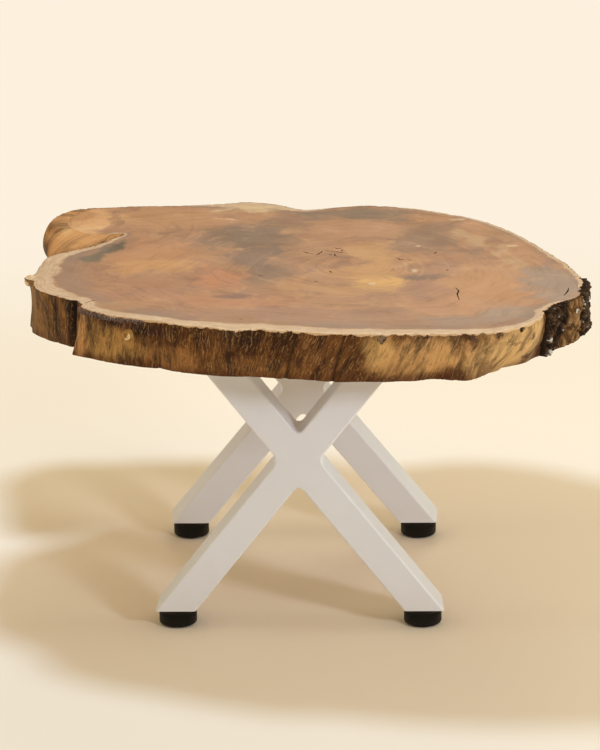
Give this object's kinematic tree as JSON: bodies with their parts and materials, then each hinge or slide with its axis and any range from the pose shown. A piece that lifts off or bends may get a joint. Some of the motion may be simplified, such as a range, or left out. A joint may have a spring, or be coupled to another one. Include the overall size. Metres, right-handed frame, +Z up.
{
  "type": "live edge side table",
  "caption": "Low table with a live-edge slice of a tree trunk as its top, on X frames of white box-section steel with black screw-in levelling feet.",
  "frame": {"origin": "on the floor, under the middle of the table's plan box", "axes": "+Z up, the front of the table faces -Y, +X to the right along the table's longer side"},
  "size_m": [0.7224, 0.6582, 0.42],
  "materials": {
    "lacquered_wood": "clear satin lacquer over end grain, debarked edge",
    "bark": "rough dark bark",
    "white_paint": "semi-gloss white paint on steel",
    "zinc_steel": "bright zinc plated",
    "black_plastic": "satin black moulded plastic",
    "black_rubber": "matt black rubber"
  },
  "bodies": {
    "table": {"tabletop_slab": "lacquered_wood", "bark_patch_front": "bark", "bark_patch_end": "bark", "front_through_bar": "white_paint", "front_upper_half_bar": "white_paint", "front_lower_half_bar": "white_paint", "front_top_plate": "white_paint", "front_plate_screw_1": "zinc_steel", "front_plate_screw_2": "zinc_steel", "front_plate_screw_3": "zinc_steel", "front_plate_screw_4": "zinc_steel", "front_plate_screw_5": "zinc_steel", "front_plate_screw_6": "zinc_steel", "rear_through_bar": "white_paint", "rear_upper_half_bar": "white_paint", "rear_lower_half_bar": "white_paint", "rear_top_plate": "white_paint", "rear_plate_screw_1": "zinc_steel", "rear_plate_screw_2": "zinc_steel", "rear_plate_screw_3": "zinc_steel", "rear_plate_screw_4": "zinc_steel", "rear_plate_screw_5": "zinc_steel", "rear_plate_screw_6": "zinc_steel", "end_plate_front_left": "white_paint", "weld_nut_front_left": "zinc_steel", "end_plate_front_right": "white_paint", "weld_nut_front_right": "zinc_steel", "end_plate_rear_left": "white_paint", "weld_nut_rear_left": "zinc_steel", "end_plate_rear_right": "white_paint", "weld_nut_rear_right": "zinc_steel"},
    "foot_front_left": {"foot_base_front_left": "black_plastic", "foot_sole_front_left": "black_rubber"},
    "stud_front_left": {"foot_stud_front_left": "zinc_steel"},
    "foot_front_right": {"foot_base_front_right": "black_plastic", "foot_sole_front_right": "black_rubber"},
    "stud_front_right": {"foot_stud_front_right": "zinc_steel"},
    "foot_rear_left": {"foot_base_rear_left": "black_plastic", "foot_sole_rear_left": "black_rubber"},
    "stud_rear_left": {"foot_stud_rear_left": "zinc_steel"},
    "foot_rear_right": {"foot_base_rear_right": "black_plastic", "foot_sole_rear_right": "black_rubber"},
    "stud_rear_right": {"foot_stud_rear_right": "zinc_steel"}
  },
  "joints": [
    {"name": "foot_travel_front_left", "type": "slide", "parent": "table", "child": "foot_front_left", "axis": [0, 0, -1], "range_m": [0, 0.006]},
    {"name": "stud_turn_front_left", "type": "hinge", "parent": "foot_front_left", "child": "stud_front_left", "pos_m": [-0.1651, -0.19961, 0.02], "axis": [0, 0, -1], "range_deg": [0, 1728]},
    {"name": "foot_travel_front_right", "type": "slide", "parent": "table", "child": "foot_front_right", "axis": [0, 0, -1], "range_m": [0, 0.006]},
    {"name": "stud_turn_front_right", "type": "hinge", "parent": "foot_front_right", "child": "stud_front_right", "pos_m": [0.14671, -0.19961, 0.02], "axis": [0, 0, -1], "range_deg": [0, 1728]},
    {"name": "foot_travel_rear_left", "type": "slide", "parent": "table", "child": "foot_rear_left", "axis": [0, 0, -1], "range_m": [0, 0.006]},
    {"name": "stud_turn_rear_left", "type": "hinge", "parent": "foot_rear_left", "child": "stud_rear_left", "pos_m": [-0.1651, 0.1294, 0.02], "axis": [0, 0, -1], "range_deg": [0, 1728]},
    {"name": "foot_travel_rear_right", "type": "slide", "parent": "table", "child": "foot_rear_right", "axis": [0, 0, -1], "range_m": [0, 0.006]},
    {"name": "stud_turn_rear_right", "type": "hinge", "parent": "foot_rear_right", "child": "stud_rear_right", "pos_m": [0.14671, 0.1294, 0.02], "axis": [0, 0, -1], "range_deg": [0, 1728]}
  ],
  "couplings": [
    {"joint": "stud_turn_front_left", "follows": "foot_travel_front_left", "rad_per_m": 5026.5},
    {"joint": "stud_turn_front_right", "follows": "foot_travel_front_right", "rad_per_m": 5026.5},
    {"joint": "stud_turn_rear_left", "follows": "foot_travel_rear_left", "rad_per_m": 5026.5},
    {"joint": "stud_turn_rear_right", "follows": "foot_travel_rear_right", "rad_per_m": 5026.5}
  ]
}
